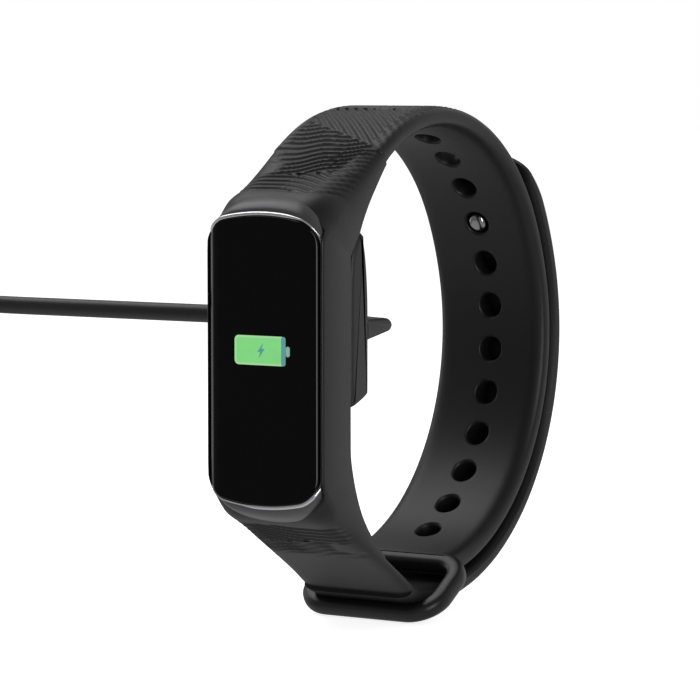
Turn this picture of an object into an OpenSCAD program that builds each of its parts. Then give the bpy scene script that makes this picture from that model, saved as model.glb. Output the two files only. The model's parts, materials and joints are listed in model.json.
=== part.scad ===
// Fitness tracker band: a slim tracker pod in a one-piece silicone strap, closed
// through its own keeper ring, docked on a clip-on charger with its USB cable.
// X runs across the band, the display faces -Y, Z is up and the keeper ring is at Z = 0.

/* [Band] */
// Width of the carrier around the pod
body_w = 18; // [17:0.5:20]
// Width of the two strap arms
strap_w = 17.2; // [16:0.2:17.4]
// Thickness of the arm with the holes
arm_t = 2.9; // [2.6:0.1:3]
// Thickness of the arm with the stud, and of its tail
tail_t = 2.5; // [2.2:0.1:2.6]
// Air between the two layers where the tail lies on the arm
layer_gap = 0.6; // [0.6:0.1:0.8]
// Radius of the strap's inner face over the crown
crown_r = 26.5; // [26:0.5:28]
// Radius of the inner face down the back
back_r = 37; // [34:1:40]
// Radius of the inner face round the heel
heel_r = 29.5; // [29:0.5:30]
// Diameter of an adjustment hole
hole_d = 3.4; // [3.2:0.1:3.8]
// Distance between adjustment holes along the inner face
hole_pitch = 6.3; // [5.8:0.1:6.3]
// Number of adjustment holes
hole_count = 12; // [8:1:12]
// Which hole the stud is in, counted from the crown
stud_hole = 4; // [3:1:6]

/* [Pod] */
// Height of the cover glass
glass_h = 37.6; // [36:0.4:38]
// Width of the cover glass
glass_w = 16.8; // [16:0.2:17]
// Height of the pod's centre above the floor
pod_z = 37.3; // [37:0.1:37.6]
// Depth of the pod from the glass to its back
pod_depth = 9.2; // [9:0.1:9.4]

/* [Keeper ring] */
// Thickness of the ring's bars
keeper_t = 2.2; // [2:0.1:2.4]
// Width of the ring's free front bar
keeper_bar = 2.4; // [2.2:0.1:2.6]
// Outside width of the ring
keeper_w = 22.4; // [22:0.2:23]

/* [Charger] */
// Height of the cradle
cradle_h = 22.6; // [21:0.2:24]
// Depth of the cradle behind the pod
cradle_d = 3.8; // [3.6:0.1:4]
// Diameter of the cable
cable_d = 2.5; // [2.5:0.1:2.6]

/* [Hidden] */
fit = 0.1;
step_deg = 5;

// Strap: the inner face starts behind the pod's top and turns clockwise seen from +X
lead = 61;
crown_turn = -123;
back_turn = -14;
heel_turn = -96;
root_in = 10.2;
root_z = 53.5;
back_dir = lead + crown_turn;
heel_dir = back_dir + back_turn;
stack = arm_t + layer_gap;
reach = root_in + crown_r * (sin(lead) - sin(back_dir)) + back_r * (sin(back_dir) - sin(heel_dir))
    + heel_r * (1 + sin(heel_dir));
depth = reach + stack + tail_t;
front_y = -depth / 2;
rear_y = front_y + pod_depth;
rim_y = front_y + 2;
start = [front_y + root_in, root_z, lead];
arm_arcs = [[crown_r, crown_turn], [back_r, back_turn], [heel_r, heel_turn]];
first_hole = 38;

// Outer layer: the same arcs moved out by the stack, then up to the pod's foot
slope = 29;
slope_lead = 31;
pass_r = 12;
root_r = 20.5;
tip_dir = -43;
over_turn = -182 - heel_dir;
tip_on_arm = on_arc(start, arm_arcs[0], tip_dir - lead);
tip = [tip_on_arm[0] - sin(tip_dir) * stack, tip_on_arm[1] + cos(tip_dir) * stack, tip_dir];
outer_arcs = [[crown_r + stack, back_dir - tip_dir], [back_r + stack, back_turn],
    [heel_r + stack, over_turn]];
peel_turn = -90 - heel_dir;
peel_gap = 0.1;
pass_end = on_arc(far_end(tip, outer_arcs), [pass_r, -slope + 2], -slope + 2);
root_top = rear_y + root_r * (1 - sin(slope));
root_len = (pass_end[0] - root_top) / cos(slope);
root_start = [root_top, pass_end[1] + root_len * sin(slope), 180 - slope];

// Pod outline
pod_end_r = 28;
glass_corner = 3.4;
frame_w = 17.6;
frame_h = 39;
collar_w = 15.8;
window_w = 14.2;
window_h = 34.6;
display_h = 26;
case_w = 15.6;
case_h = 36.6;
case_wall = 1;

// Layers of the pod, as depths behind the front of the glass
glass_back = 1.35;
frame_back = 1.9;
display_back = 2.2;
case_front = 2.3;
chassis_back = 3.3;
foam_back = 3.65;
motor_back = 6.7;
board_front = 6.9;
board_back = 7.5;
led_front = 7.9;
led_back = 8.4;
case_floor = pod_depth - case_wall;

// Places inside the pod
contact_z = pod_z + 9;
contact_x = 3;
contact_r = 1.2;
window_z = pod_z - 11.5;
lens_r = 4.25;
motor_x = 3.2;
motor_z = pod_z + 13.2;
battery_z = pod_z - 2.5;
screw_at = [[5.4, 8], [-5.4, -12.6]];
screw_r = 0.45;

// Keeper ring
keeper_tilt = 30;
keeper_front = [front_y + 26.1, keeper_t / 2 * cos(keeper_tilt) + keeper_bar / 2 * sin(keeper_tilt)];
keeper_len = 12.4;
keeper_side = 2.1;
keeper_back = 2.5;
keeper_round = 3.6;
keeper_slot_round = 1.6;
keeper_root_turn = 4;

// Stud
stud_s = first_hole + (stud_hole - 1) * hole_pitch;
stud_head_r = 1.25;
stud_neck_r = 0.85;
stud_flange_r = 2.3;
stud_flange_t = 1;

// Charger, with depths behind the front of the glass
cradle_w = 17.6;
cradle_z = pod_z + 5.2;
cradle_d0 = pod_depth + fit;
cradle_d1 = cradle_d0 + 2.1;
cradle_d2 = cradle_d0 + cradle_d;
board_rest = cradle_d2 - 0.9;
cradle_slope = 1.2;
brow_h = 2.7;
brow_d = 1.4;
ridge_z = 41.2;
ridge_r = 2.2;
ridge_d = 16.9;
cable_y = front_y + ridge_d;
cable_z = ridge_z + 0.6;
sleeve_r = cable_d / 2 + 0.15;
sleeve_in = 8;
pin_r = 0.45;
barrel_r = 0.75;

// Cable route, chosen by hand in X and Z: out of the strain relief, left past the body,
// down and onto the floor
floor_z = cable_d / 2;
cable_x0 = -16.5;
cable_rows = [
    [cable_x0, cable_z], [-23, cable_z], [-30, cable_z], [-37, cable_z], [-44, cable_z],
    [-51, cable_z], [-58, cable_z], [-65, 41.5], [-69.5, 40], [-73, 37.2], [-75.5, 33.2], [-77, 28.4],
    [-78, 23], [-79.2, 17.5], [-81, 12.2], [-84, 7.4], [-88.2, 3.7], [-92.8, 1.7], [-97, floor_z],
    [-102, floor_z]
];

// Coil: two turns wide and two high; its end turns back over it to the plug, which lies on top
coil_mean = 14;
coil_pitch = cable_d + 0.2;
coil_top = coil_pitch + cable_d;
coil_x = -102;
coil_y = cable_y + coil_mean + coil_pitch / 2;
lead_x = coil_x - coil_mean - coil_pitch / 2;
loop_r = 4 * cable_d;
plug_x = lead_x + 2 * loop_r;
plug_y = coil_y + 16;
loop_y = plug_y + 5.5;
grip_size = [15.4, 20, 7.5];
plug_z = coil_top + 0.1 + grip_size[2] / 2;
// The lead beside the coil, its height round the loop, and its rise to the plug
side_rows = [[0.4, -3, 3.75], [0, 5, 3.65], [0, 10, 3.25], [0, 16, 2.4]];
loop_z = [1.8, 1.45, 1.3, 1.55, 2.5, 4.2, 6.2];
rise_rows = [[loop_y - 1.8, 7.6], [loop_y - 3.5, 8.75], [loop_y - 4.7, plug_z]];
shell_size = [12, 12, 4.5];
shell_wall = 0.3;
shell_in = 4;
tongue_t = 1.8;

// Point on an arc, t degrees along it, from p = [y, z, heading]
function on_arc(p, a, t) = let (s = sign(a[1]), h = p[2] + t)
    [p[0] + s * a[0] * (sin(h) - sin(p[2])), p[1] - s * a[0] * (cos(h) - cos(p[2])), h];
function arc_len(a) = a[0] * abs(a[1]) * PI / 180;
function far_end(p, arcs, i = 0) = i == len(arcs) ? p
    : far_end(on_arc(p, arcs[i], arcs[i][1]), arcs, i + 1);
// Point d millimetres along a chain of arcs
function spot(p, arcs, d, i = 0) = let (a = arcs[i], l = arc_len(a))
    d <= l || i == len(arcs) - 1 ? on_arc(p, a, a[1] * d / l)
    : spot(on_arc(p, a, a[1]), arcs, d - l, i + 1);
// Points along a chain of arcs, one every few degrees
function walk(p, arcs, i = 0) = i == len(arcs) ? [p]
    : let (a = arcs[i], n = ceil(abs(a[1]) / step_deg))
    concat([for (k = [0:n - 1]) on_arc(p, a, a[1] * k / n)], walk(on_arc(p, a, a[1]), arcs, i + 1));
// A path moved d to its left
function beside(path, d) = [for (q = path) [q[0] - sin(q[2]) * d, q[1] + cos(q[2]) * d]];
function flip(v) = [for (i = [len(v) - 1:-1:0]) v[i]];

// Outline of the pod: straight sides, round corners r and crowned ends of radius big
function pill(w, h, r, big) = let (
        cz = h / 2 - big,
        zc = cz + sqrt(pow(big - r, 2) - pow(w / 2 - r, 2)),
        f = atan2(zc - cz, w / 2 - r),
        top = concat(
            [for (i = [0:6]) [w / 2 - r + r * cos(f * i / 6), zc + r * sin(f * i / 6)]],
            [for (i = [1:5]) let (a = f + (180 - 2 * f) * i / 6) [big * cos(a), cz + big * sin(a)]],
            [for (i = [6:-1:0]) [r - w / 2 - r * cos(f * i / 6), zc + r * sin(f * i / 6)]]))
    concat(top, [for (q = top) -q]);

// A side profile in Y and Z, pulled across the band
module across(w) {
    translate([-w / 2, 0, 0])
        rotate([90, 0, 90])
            linear_extrude(w)
                children();
}

// A front outline in X and Z, from depth d0 to d1 behind the display
module facing(d0, d1) {
    translate([0, front_y + d1, pod_z])
        rotate([90, 0, 0])
            linear_extrude(d1 - d0)
                children();
}

// A block centred on x and z, from depth d0 to d1 behind the display
module block(w, h, d0, d1, x = 0, z = pod_z) {
    translate([x - w / 2, front_y + d0, z - h / 2])
        cube([w, d1 - d0, h]);
}

// A round piece along Y, from depth d0 to d1 behind the display
module round_y(r, d0, d1, x, z) {
    translate([x, front_y + d1, z])
        rotate([90, 0, 0])
            cylinder(h = d1 - d0, r = r, $fn = 48);
}

// Stands children on the arm's inner face at arc length s, with Z outward
module on_arm(s) {
    q = spot(start, arm_arcs, s);
    translate([0, q[0], q[1]])
        rotate([q[2], 0, 0])
            children();
}

module wrist_strap() {
    arm_path = walk(start, [arm_arcs[0], arm_arcs[1], [heel_r, heel_turn + keeper_root_turn]]);
    arm_out = walk(on_arc(start, arm_arcs[0], slope_lead - lead),
        [[crown_r, crown_turn + lead - slope_lead], arm_arcs[1],
        [heel_r, heel_turn + keeper_root_turn]]);
    low_start = far_end(tip, [outer_arcs[0], outer_arcs[1], [heel_r + stack, peel_turn]]);
    low_step = (tail_t / 2 + peel_gap) / (heel_r + stack) * 180 / PI;
    low_path = concat(
        walk(on_arc(low_start, [heel_r + stack, -1], -low_step),
            [[heel_r + stack, over_turn - peel_turn + low_step]]),
        walk(far_end(tip, outer_arcs), [[pass_r, -slope + 2]]));
    foot_path = walk(root_start, [[root_r, slope - 90]]);
    color("#1b1b1d")
        difference() {
            union() {
                across(strap_w)
                    polygon(concat(
                        [[rim_y + 2.4, pod_z + 20.4]],
                        beside(arm_out, arm_t),
                        flip(beside(arm_path, 0)),
                        [[rear_y, pod_z + 14.4], [rear_y, root_start[1] + root_r * cos(slope)]],
                        flip(beside(foot_path, 0)),
                        flip(beside(low_path, 0)),
                        beside(low_path, tail_t),
                        [[rim_y + 2.4, pod_z - 20.4]]));
                across(body_w)
                    polygon([[rim_y, pod_z - 18.6], [rim_y, pod_z + 18.6],
                        [rim_y + 2.4, pod_z + 20.4], [rear_y - 1, pod_z + 22.4],
                        [rear_y, pod_z + 14], [rear_y, pod_z - 10],
                        [rear_y - 1, pod_z - 22.4], [rim_y + 2.4, pod_z - 20.4]]);
            }
            facing(1, pod_depth + 8)
                polygon(pill(case_w + 2 * fit, case_h + 2 * fit, 4, pod_end_r));
            for (i = [0:hole_count - 1])
                on_arm(first_hole + i * hole_pitch)
                    translate([0, 0, -1])
                        cylinder(h = arm_t + 2, r = hole_d / 2, $fn = 32);
        }
}

module keeper_ring() {
    root_path = walk(far_end(start, [arm_arcs[0], arm_arcs[1],
        [heel_r, heel_turn + keeper_root_turn]]), [[heel_r, -keeper_root_turn]]);
    color("#202022")
        union() {
            across(strap_w)
                polygon(concat(beside(root_path, arm_t), flip(beside(root_path, 0))));
            translate([0, keeper_front[0], keeper_front[1]])
                rotate([keeper_tilt, 0, 0])
                    translate([0, 0, -keeper_t / 2])
                        linear_extrude(keeper_t)
                            difference() {
                                loop(keeper_w, -keeper_bar / 2, keeper_len, keeper_round);
                                loop(keeper_w - 2 * keeper_side, keeper_bar / 2,
                                    keeper_len - keeper_back, keeper_slot_round);
                            }
        }
}

// Rounded rectangle, centred on X, from y0 to y1, with corners of radius r
module loop(w, y0, y1, r) {
    translate([0, (y0 + y1) / 2])
        polygon([for (c = [[1, 1, 0], [-1, 1, 90], [-1, -1, 180], [1, -1, 270]], i = [0:5])
            [c[0] * (w / 2 - r) + r * cos(c[2] + 18 * i),
            c[1] * ((y1 - y0) / 2 - r) + r * sin(c[2] + 18 * i)]]);
}

module strap_tail() {
    tail_path = walk(tip, [outer_arcs[0], outer_arcs[1], [heel_r + stack, peel_turn]]);
    peel = far_end(tip, [outer_arcs[0], outer_arcs[1], [heel_r + stack, peel_turn]]);
    color("#1b1b1d")
        difference() {
            union() {
                across(strap_w)
                    polygon(concat(beside(tail_path, tail_t), flip(beside(tail_path, 0))));
                translate([-strap_w / 2, peel[0] + tail_t / 2, peel[1]])
                    rotate([0, 90, 0])
                        cylinder(h = strap_w, r = tail_t / 2, $fn = 32);
            }
            on_arm(stud_s)
                translate([0, 0, stack - 1])
                    cylinder(h = 1 + stud_flange_t, r = stud_flange_r + 0.02, $fn = 40);
        }
}

module fastening_stud() {
    color("#c9cacc")
        on_arm(stud_s)
            rotate_extrude($fn = 48)
                polygon([[0, -0.35], [0.6, -0.25], [1.05, 0.05], [stud_head_r, 0.5],
                    [stud_head_r, 0.9], [stud_neck_r, 1.3], [stud_neck_r, stack],
                    [stud_flange_r, stack], [stud_flange_r, stack + stud_flange_t],
                    [0, stack + stud_flange_t]]);
}

module cover_glass() {
    color("#050506")
        union() {
            facing(0.6, glass_back)
                polygon(pill(glass_w, glass_h, glass_corner, pod_end_r));
            facing(0.25, 0.6)
                polygon(pill(glass_w - 0.8, glass_h - 0.6, glass_corner, pod_end_r));
            facing(0, 0.25)
                polygon(pill(glass_w - 2.4, glass_h - 1.8, glass_corner, pod_end_r));
        }
}

module front_frame() {
    collar = [[0.9, 18.4], [1.3, 20.1], [2.6, 21.3], [5.4, 22.3], [5.2, 21], [4.3, 20.5], [1.9, 18.7]];
    color("#8d8f92")
        difference() {
            union() {
                facing(0.7, frame_back)
                    polygon(pill(frame_w, frame_h, 4.2, pod_end_r));
                for (s = [-1, 1])
                    across(collar_w)
                        polygon([for (q = collar) [front_y + q[0], pod_z + s * q[1]]]);
            }
            facing(0, glass_back)
                polygon(pill(glass_w + fit, glass_h + fit, glass_corner, pod_end_r));
            facing(0, 3)
                polygon(pill(window_w, window_h, 2.4, pod_end_r));
        }
}

module display_panel() {
    color("#0a0c10")
        block(12.4, display_h, glass_back, display_back);
}

module display_flex() {
    fold_z = pod_z - display_h / 2 - 2.2;
    color("#b4772a")
        union() {
            block(5, 0.2, display_back + 0.1, board_front + 0.3, 0, fold_z);
            block(5, 2.8, display_back, display_back + 0.2, 0, fold_z + 1.3);
        }
}

module case_seal() {
    color("#2d2d2f")
        difference() {
            facing(frame_back, case_front)
                polygon(pill(case_w - 0.2, case_h - 0.2, 3.9, pod_end_r));
            facing(1, 3)
                polygon(pill(case_w - 1.6, case_h - 1.6, 3.2, pod_end_r));
        }
}

module pod_case() {
    color("#252527")
        difference() {
            union() {
                difference() {
                    facing(case_front, pod_depth)
                        polygon(pill(case_w, case_h, 4, pod_end_r));
                    facing(case_front - 1, case_floor)
                        polygon(pill(case_w - 2 * case_wall, case_h - 2 * case_wall, 3, pod_end_r));
                }
                for (q = screw_at)
                    round_y(1.1, board_back, case_floor + 0.2, q[0], pod_z + q[1]);
            }
            for (q = screw_at)
                round_y(screw_r, board_back - 1, case_floor, q[0], pod_z + q[1]);
            for (s = [-1, 1])
                round_y(contact_r + 0.05, case_floor - 1, pod_depth + 1, s * contact_x, contact_z);
            round_y(lens_r + 0.05, case_floor - 1, pod_depth + 1, 0, window_z);
        }
}

module inner_chassis() {
    color("#3a3a3d")
        difference() {
            facing(2.7, chassis_back)
                polygon(pill(13.3, 34.2, 2.8, pod_end_r));
            block(6, 3.2, 2, 4, 0, pod_z - 15);
            for (q = screw_at)
                round_y(screw_r + 0.1, 2, 4, q[0], pod_z + q[1]);
        }
}

module battery_cell() {
    color("#b9bcc2")
        block(12.2, 17, foam_back, 6.6, 0, battery_z);
}

module battery_foam() {
    color("#dcdcd8")
        block(11.4, 16, chassis_back, foam_back, 0, battery_z);
}

module main_board() {
    color("#14532d")
        difference() {
            facing(board_front, board_back)
                polygon(pill(13, 32.8, 2.6, pod_end_r));
            block(6, 3.6, 6, 8, 0, pod_z - 15.4);
            for (q = screw_at)
                round_y(screw_r + 0.1, 6, 8, q[0], pod_z + q[1]);
        }
}

module shield_can() {
    color("#c2c4c6")
        block(6.4, 5, 5.7, board_front, -3, pod_z + 12.6);
}

module radio_chip() {
    color("#17171a")
        block(3, 3, board_back, 8.1, -3.4, pod_z + 3.2);
}

module motion_sensor() {
    color("#1d1d20")
        block(2.4, 2.4, board_back, 8.1, 3.4, pod_z + 3.2);
}

module antenna_strip() {
    color("#caa14a")
        block(8.4, 1.2, chassis_back, chassis_back + 0.2, 0, pod_z + 9.4);
}

module chassis_screws() {
    color("#9a9ca0")
        for (q = screw_at) {
            round_y(screw_r, 2.7, 8, q[0], pod_z + q[1]);
            round_y(0.8, 2.4, 2.7, q[0], pod_z + q[1]);
        }
}

module motor_case() {
    color("#a9abb0")
        difference() {
            round_y(2.5, chassis_back, motor_back, motor_x, motor_z);
            round_y(2.2, chassis_back + 0.3, motor_back - 0.3, motor_x, motor_z);
        }
}

module motor_weight() {
    gap = 0.35;
    color("#6d6f74")
        union() {
            round_y(0.4, chassis_back + gap, motor_back - gap, motor_x, motor_z);
            translate([motor_x, front_y + motor_back - 0.6, motor_z])
                rotate([90, 0, 0])
                    rotate_extrude(angle = 180, $fn = 48)
                        translate([0.2, 0])
                            square([1.7, motor_back - chassis_back - 1.2]);
        }
}

module sensor_board() {
    color("#17603a")
        block(8, 7, board_back, led_front, 0, window_z);
}

module sensor_leds() {
    color("#3fae5a")
        for (s = [-1, 1])
            block(1, 1.4, led_front, led_back, s * 2.4, window_z);
}

module light_sensor() {
    color("#26303c")
        block(1.8, 1.8, led_front, led_back, 0, window_z);
}

module sensor_window() {
    color("#1a1f24")
        round_y(lens_r, led_back, pod_depth + 0.4, 0, window_z);
}

module charging_contacts() {
    color("#d4af37")
        for (s = [-1, 1]) {
            round_y(contact_r, pod_depth - 0.4, pod_depth, s * contact_x, contact_z);
            round_y(0.6, board_back, pod_depth - 0.4, s * contact_x, contact_z);
        }
}

module cradle_base() {
    color("#222224")
        difference() {
            across(cradle_w)
                polygon([for (q = [[cradle_d0, cradle_h / 2 - brow_h], [cradle_d0 + brow_d, cradle_h / 2],
                    [cradle_d1, cradle_h / 2], [cradle_d1, -cradle_h / 2], [cradle_d0, -cradle_h / 2]])
                    [front_y + q[0], cradle_z + q[1]]]);
            block(cradle_w - 2.4, cradle_h - 4.4, cradle_d0 + 0.8, cradle_d1 + 1, 0, cradle_z - 1);
            for (s = [-1, 1])
                round_y(barrel_r, cradle_d0 - 1, cradle_d0 + 3, s * contact_x, contact_z);
        }
}

module cradle_cover() {
    color("#242426")
        difference() {
            union() {
                across(cradle_w)
                    polygon([for (q = [[cradle_d1, 1, 0], [cradle_d2, 1, cradle_slope],
                        [cradle_d2, -1, cradle_slope], [cradle_d1, -1, 0]])
                        [front_y + q[0], cradle_z + q[1] * (cradle_h / 2 - q[2])]]);
                block(cradle_w, 2 * ridge_r, cradle_d2 - 0.8, ridge_d, 0, ridge_z);
                translate([-cradle_w / 2, front_y + ridge_d, ridge_z])
                    rotate([0, 90, 0])
                        cylinder(h = cradle_w, r = ridge_r, $fn = 48);
            }
            block(cradle_w - 2.4, cradle_h - 2.4, cradle_d1 - 1, board_rest, 0, cradle_z);
            translate([-cradle_w / 2 - 1, cable_y, cable_z])
                rotate([0, 90, 0])
                    cylinder(h = sleeve_in + 1, r = sleeve_r, $fn = 40);
        }
}

module cradle_board() {
    color("#14532d")
        block(12, 8, board_rest - 0.4, board_rest, 0, contact_z);
}

module cradle_magnets() {
    color("#b8babd")
        for (s = [-1, 1])
            round_y(2, cradle_d0 + 0.8, cradle_d0 + 2, s * 4.4, cradle_z - 7);
}

module pin_barrels() {
    color("#d4af37")
        for (s = [-1, 1])
            difference() {
                round_y(barrel_r, cradle_d0 + 0.3, board_rest - 0.4, s * contact_x, contact_z);
                round_y(pin_r + 0.05, cradle_d0, board_rest - 0.6, s * contact_x, contact_z);
            }
}

module pin(s) {
    color("#e0c060")
        round_y(pin_r, pod_depth + 0.02, pod_depth + 1.5, s * contact_x, contact_z);
}

module left_pin() {
    pin(-1);
}

module right_pin() {
    pin(1);
}

module strain_relief() {
    color("#1c1c1e")
        translate([cable_x0, cable_y, cable_z])
            rotate([0, 90, 0])
                union() {
                    cylinder(h = -cradle_w / 2 - cable_x0, r1 = sleeve_r, r2 = 2, $fn = 40);
                    cylinder(h = sleeve_in - cradle_w / 2 - cable_x0, r = sleeve_r, $fn = 40);
                }
}

// One ring of points round the cable at a, square to the direction from b to c
function cable_ring(a, b, c) = let (
        t = (c - b) / norm(c - b),
        level = cross([0, 0, 1], t),
        u = level / norm(level),
        v = cross(t, u))
    [for (k = [0:7]) a + cable_d / 2 * (u * cos(45 * k) + v * sin(45 * k))];

module tube(rows) {
    n = len(rows);
    rings = [for (i = [0:n - 1]) each cable_ring(rows[i], rows[max(i - 1, 0)], rows[min(i + 1, n - 1)])];
    sides = [for (i = [0:n - 2], k = [0:7])
        [8 * i + k, 8 * (i + 1) + k, 8 * (i + 1) + (k + 1) % 8, 8 * i + (k + 1) % 8]];
    polyhedron(rings, concat([[for (k = [0:7]) k]], sides, [[for (k = [7:-1:0]) 8 * (n - 1) + k]]));
}

module charging_cable() {
    color("#1c1c1e")
        tube([for (q = cable_rows) [q[0], cable_y, q[1]]]);
}

module cable_coil() {
    inner = coil_mean - coil_pitch / 2 - cable_d / 2;
    color("#1c1c1e")
        union() {
            translate([coil_x, coil_y, 0])
                rotate_extrude($fn = 64)
                    translate([inner, 0])
                        square([coil_pitch + cable_d, coil_pitch + cable_d]);
            tube(concat(
                [for (q = side_rows) [lead_x + q[0], coil_y + q[1], q[2]]],
                [for (i = [0:6]) let (a = 30 * i)
                    [lead_x + loop_r * (1 - cos(a)), loop_y + loop_r * sin(a), loop_z[i]]],
                [for (q = rise_rows) [plug_x, q[0], q[1]]],
                [[plug_x, plug_y, plug_z]]));
        }
}

// Puts the plug, drawn along +Y from its tail, on the coil with its end towards -Y
module on_coil() {
    translate([plug_x, plug_y, plug_z])
        rotate([0, 0, 180])
            children();
}

// A block of the plug, centred on its axis, from y0 behind the grip's end
module plug_block(size, y0) {
    translate([-size[0] / 2, y0, -size[2] / 2])
        cube(size);
}

module usb_grip() {
    color("#1c1c1e")
        on_coil()
            difference() {
                plug_block(grip_size, 0);
                plug_block([shell_size[0], shell_in, shell_size[2]], grip_size[1] - shell_in);
            }
}

module usb_shell() {
    color("#c4c6c8")
        on_coil()
            difference() {
                plug_block([shell_size[0], shell_size[1] + shell_in, shell_size[2]],
                    grip_size[1] - shell_in);
                plug_block([shell_size[0] - 2 * shell_wall, shell_size[1] + shell_in + 1,
                    shell_size[2] - 2 * shell_wall], grip_size[1] - shell_in - 0.5);
                for (x = [-2.6, 2.6])
                    translate([x - 1.1, grip_size[1] + 4.5, 0])
                        cube([2.2, 2.2, shell_size[2]]);
            }
}

module usb_tongue() {
    color("#101012")
        on_coil()
            translate([-shell_size[0] / 2 + shell_wall, grip_size[1] - shell_in, -shell_size[2] / 2 + shell_wall])
                cube([shell_size[0] - 2 * shell_wall, shell_size[1] + shell_in - 0.5, tongue_t]);
}

module usb_contacts() {
    color("#d4af37")
        on_coil()
            for (i = [-1.5:1:1.5])
                translate([i * 2.3 - 0.5, grip_size[1] + 1, -shell_size[2] / 2 + shell_wall + tongue_t])
                    cube([1, 8.5, 0.15]);
}

wrist_strap();
keeper_ring();
strap_tail();
fastening_stud();
cover_glass();
front_frame();
display_panel();
display_flex();
case_seal();
pod_case();
inner_chassis();
battery_cell();
battery_foam();
main_board();
shield_can();
radio_chip();
motion_sensor();
antenna_strip();
chassis_screws();
motor_case();
motor_weight();
sensor_board();
sensor_leds();
light_sensor();
sensor_window();
charging_contacts();
cradle_base();
cradle_cover();
cradle_board();
cradle_magnets();
pin_barrels();
left_pin();
right_pin();
strain_relief();
charging_cable();
cable_coil();
usb_grip();
usb_shell();
usb_tongue();
usb_contacts();
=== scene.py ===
# Looks for the fitness tracker band: strap, pod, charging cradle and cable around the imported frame.
import json
import math
import bpy
import bmesh
import numpy as np
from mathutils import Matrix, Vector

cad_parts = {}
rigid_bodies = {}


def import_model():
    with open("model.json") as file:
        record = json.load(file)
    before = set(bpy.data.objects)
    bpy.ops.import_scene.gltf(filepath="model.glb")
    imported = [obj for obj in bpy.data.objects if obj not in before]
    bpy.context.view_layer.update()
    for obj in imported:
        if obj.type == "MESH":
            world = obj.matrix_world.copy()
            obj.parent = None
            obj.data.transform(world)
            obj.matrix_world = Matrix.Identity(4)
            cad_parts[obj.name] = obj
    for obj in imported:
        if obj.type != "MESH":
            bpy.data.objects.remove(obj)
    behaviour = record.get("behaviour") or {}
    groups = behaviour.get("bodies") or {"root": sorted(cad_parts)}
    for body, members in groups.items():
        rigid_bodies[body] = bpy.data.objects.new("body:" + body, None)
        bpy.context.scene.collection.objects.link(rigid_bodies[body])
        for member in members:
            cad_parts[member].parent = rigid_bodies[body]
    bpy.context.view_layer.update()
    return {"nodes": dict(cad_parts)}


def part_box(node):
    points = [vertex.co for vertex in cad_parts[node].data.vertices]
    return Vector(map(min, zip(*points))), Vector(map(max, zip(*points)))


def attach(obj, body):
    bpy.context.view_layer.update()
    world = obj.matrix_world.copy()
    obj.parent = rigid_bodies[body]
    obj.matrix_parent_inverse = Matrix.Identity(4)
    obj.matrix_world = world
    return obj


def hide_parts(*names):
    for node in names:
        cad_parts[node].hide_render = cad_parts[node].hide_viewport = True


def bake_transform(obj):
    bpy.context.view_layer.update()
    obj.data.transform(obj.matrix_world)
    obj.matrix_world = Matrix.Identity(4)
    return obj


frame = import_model()
nodes = frame["nodes"]
mm = 0.001
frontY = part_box("cover_glass")[0][1] / mm  # the glass's front, in millimetres
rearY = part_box("pod_case")[1][1] / mm
podZ = (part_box("cover_glass")[0][2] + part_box("cover_glass")[1][2]) / 2 / mm
print("frame loaded:", len(nodes), "nodes")


def toLinear(hexColour):
    # sRGB to linear: c / 12.92 below 0.04045, else ((c + 0.055) / 1.055) to the power 2.4
    parts = [int(hexColour[i:i + 2], 16) / 255 for i in (1, 3, 5)]
    return tuple(c / 12.92 if c <= 0.04045 else ((c + 0.055) / 1.055) ** 2.4 for c in parts) + (1.0,)


def addNode(tree, kind, settings=None, links=None):
    # one node; settings go to its sockets, or to its properties where no socket has that name
    node = tree.nodes.new(kind)
    for name, value in (settings or {}).items():
        if name in node.inputs:
            node.inputs[name].default_value = value
        else:
            setattr(node, name, value)
    for name, source in (links or {}).items():
        tree.links.new(source, node.inputs[name])
    return node


def startMaterial(name, colour, roughness, metallic=0.0, extras=None):
    # an empty material with one shader; constants sit on the shader's own sockets
    material = bpy.data.materials.new(name)
    material.use_nodes = True
    tree = material.node_tree
    tree.nodes.clear()
    settings = {"Base Color": toLinear(colour), "Roughness": roughness, "Metallic": metallic}
    settings.update(extras or {})
    shader = addNode(tree, "ShaderNodeBsdfPrincipled", settings)
    addNode(tree, "ShaderNodeOutputMaterial", None, {"Surface": shader.outputs["BSDF"]})
    coords = addNode(tree, "ShaderNodeTexCoord")
    return material, tree, shader, coords.outputs["Object"]


def grainFinish(name, colour, darker, roughness, grainMm, bumpMm, metallic=0.0, extras=None, roughSpread=0.08):
    # a moulded or coated surface: mottled colour, roughness that varies, and a fine grain of grainMm
    material, tree, shader, where = startMaterial(name, colour, roughness, metallic, extras)
    cloud = addNode(tree, "ShaderNodeTexNoise", {"Scale": 1 / (9 * mm), "Detail": 3.0}, {"Vector": where})
    tint = addNode(tree, "ShaderNodeMix", {"data_type": "RGBA"}, {"Factor": cloud.outputs["Fac"]})
    tint.inputs[6].default_value = toLinear(darker)
    tint.inputs[7].default_value = toLinear(colour)
    tree.links.new(tint.outputs[2], shader.inputs["Base Color"])
    grain = addNode(tree, "ShaderNodeTexNoise", {"Scale": 1 / (grainMm * mm), "Detail": 2.0}, {"Vector": where})
    spread = addNode(tree, "ShaderNodeMapRange", {"To Min": roughness - roughSpread, "To Max": roughness + roughSpread},
                     {"Value": grain.outputs["Fac"]})
    tree.links.new(spread.outputs["Result"], shader.inputs["Roughness"])
    bump = addNode(tree, "ShaderNodeBump", {"Strength": 0.6, "Distance": bumpMm * mm}, {"Height": grain.outputs["Fac"]})
    tree.links.new(bump.outputs["Normal"], shader.inputs["Normal"])
    return material


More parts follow.
